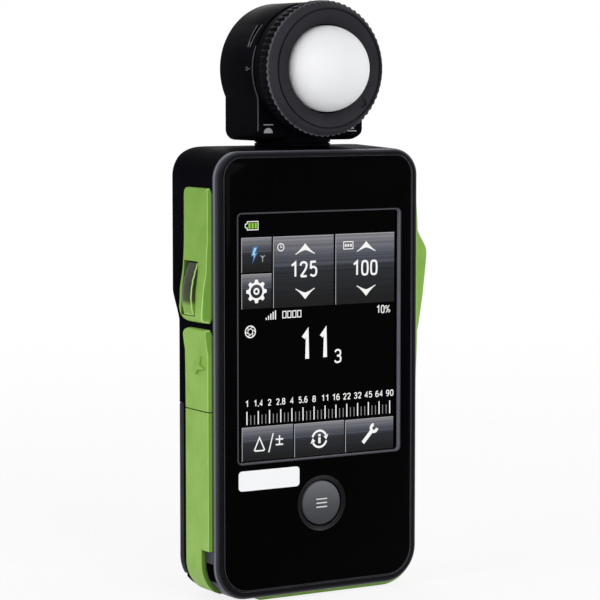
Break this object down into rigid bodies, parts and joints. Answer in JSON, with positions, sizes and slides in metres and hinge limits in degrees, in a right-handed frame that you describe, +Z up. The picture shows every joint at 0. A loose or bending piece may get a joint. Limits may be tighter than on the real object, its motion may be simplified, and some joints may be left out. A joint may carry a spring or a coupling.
{
  "type": "handheld light meter",
  "caption": "Handheld light meter with a colour touch screen, soft green side grips and a swivelling head whose white lumisphere retracts when its knurled ring is turned.",
  "frame": {"origin": "where the head's vertical swivel axis meets the flat underside of the bottom grip, the surface that the meter stands on", "axes": "+Z up along the swivel axis towards the head, +X to the reader's right when the screen is read, +Y from the screen towards the back"},
  "size_m": [0.0628, 0.0363, 0.1398],
  "materials": {
    "black_plastic": "fine satin moulding",
    "gloss_black": "high gloss",
    "slate_plastic": "satin slate",
    "green_rubber": "soft satin",
    "green_plastic": "satin",
    "touch_glass": "polished",
    "display_metal": "satin",
    "button_grey": "satin",
    "board_green": "solder mask",
    "steel": "plated",
    "brass": "machined",
    "cell_jacket": "printed film",
    "white_diffuser": "opal diffuser",
    "ivory_plastic": "moulded",
    "filter_glass": "polished"
  },
  "bodies": {
    "body": {"rear_shell": "black_plastic", "display_holder": "black_plastic", "front_panel": "gloss_black", "front_frame": "slate_plastic", "left_upper_grip": "green_rubber", "left_lower_grip": "green_rubber", "right_grip": "green_rubber", "touch_glass": "touch_glass", "display_module": "display_metal", "main_board": "board_green", "rear_board": "board_green", "radio_module": "steel", "case_screw_1": "steel", "case_screw_2": "steel", "case_screw_3": "steel", "case_screw_4": "steel", "battery_bridge": "steel", "battery_contact_left": "steel", "battery_contact_right": "steel", "battery_spring_left": "steel", "battery_spring_right": "steel", "sync_terminal": "steel", "memory_switch": "steel", "measure_switch": "steel", "menu_switch": "steel", "power_switch": "steel", "tripod_bush": "brass", "sync_pin": "brass", "battery_cell_left": "cell_jacket", "battery_cell_right": "cell_jacket", "sync_insulator": "ivory_plastic"},
    "battery_door": {"battery_door": "black_plastic"},
    "sync_cover": {"sync_flap": "green_rubber"},
    "menu_button": {"menu_button": "button_grey"},
    "memory_button": {"memory_button": "green_plastic"},
    "measure_button": {"measure_button": "green_plastic"},
    "power_button": {"power_button": "button_grey"},
    "head": {"head_housing": "black_plastic", "head_rear_cover": "black_plastic", "head_screw_1": "steel", "head_screw_2": "steel", "sensor_board": "board_green", "photodiode": "steel", "sensor_filter": "filter_glass", "guide_tube": "black_plastic", "swivel_retainer": "steel", "swivel_washer": "brass"},
    "retract_ring": {"retract_ring": "black_plastic", "cam_sleeve": "brass"},
    "lumisphere": {"lumisphere": "white_diffuser", "lumisphere_carrier": "black_plastic"}
  },
  "joints": [
    {"name": "head_swivel", "type": "hinge", "parent": "body", "child": "head", "pos_m": [0, 0, 0.1061], "axis": [0, 0, 1], "range_deg": [-90, 180]},
    {"name": "ring_turn", "type": "hinge", "parent": "head", "child": "retract_ring", "pos_m": [0, -0.017, 0.1243], "axis": [0, 1, 0], "range_deg": [0, 90]},
    {"name": "lumisphere_slide", "type": "slide", "parent": "head", "child": "lumisphere", "axis": [0, 1, 0], "range_m": [0, 0.007]},
    {"name": "sync_flap_hinge", "type": "hinge", "parent": "body", "child": "sync_cover", "pos_m": [-0.0286, -0.00545, 0.04535], "axis": [0, -1, 0], "range_deg": [0, 110], "stiffness_Nm_per_rad": 0.002},
    {"name": "battery_door_slide", "type": "slide", "parent": "body", "child": "battery_door", "axis": [0, 0, -1], "range_m": [0, 0.005]},
    {"name": "menu_press", "type": "slide", "parent": "body", "child": "menu_button", "axis": [0, 1, 0], "range_m": [0, 0.0005], "stiffness_N_per_m": 400},
    {"name": "memory_press", "type": "slide", "parent": "body", "child": "memory_button", "axis": [1, 0, 0], "range_m": [0, 0.0007], "stiffness_N_per_m": 400},
    {"name": "measure_press", "type": "slide", "parent": "body", "child": "measure_button", "axis": [-1, 0, 0], "range_m": [0, 0.0007], "stiffness_N_per_m": 400},
    {"name": "power_press", "type": "slide", "parent": "body", "child": "power_button", "axis": [0, -1, 0], "range_m": [0, 0.0005], "stiffness_N_per_m": 400}
  ],
  "couplings": [
    {"joint": "lumisphere_slide", "follows": "ring_turn", "m_per_rad": 0.0044563}
  ]
}
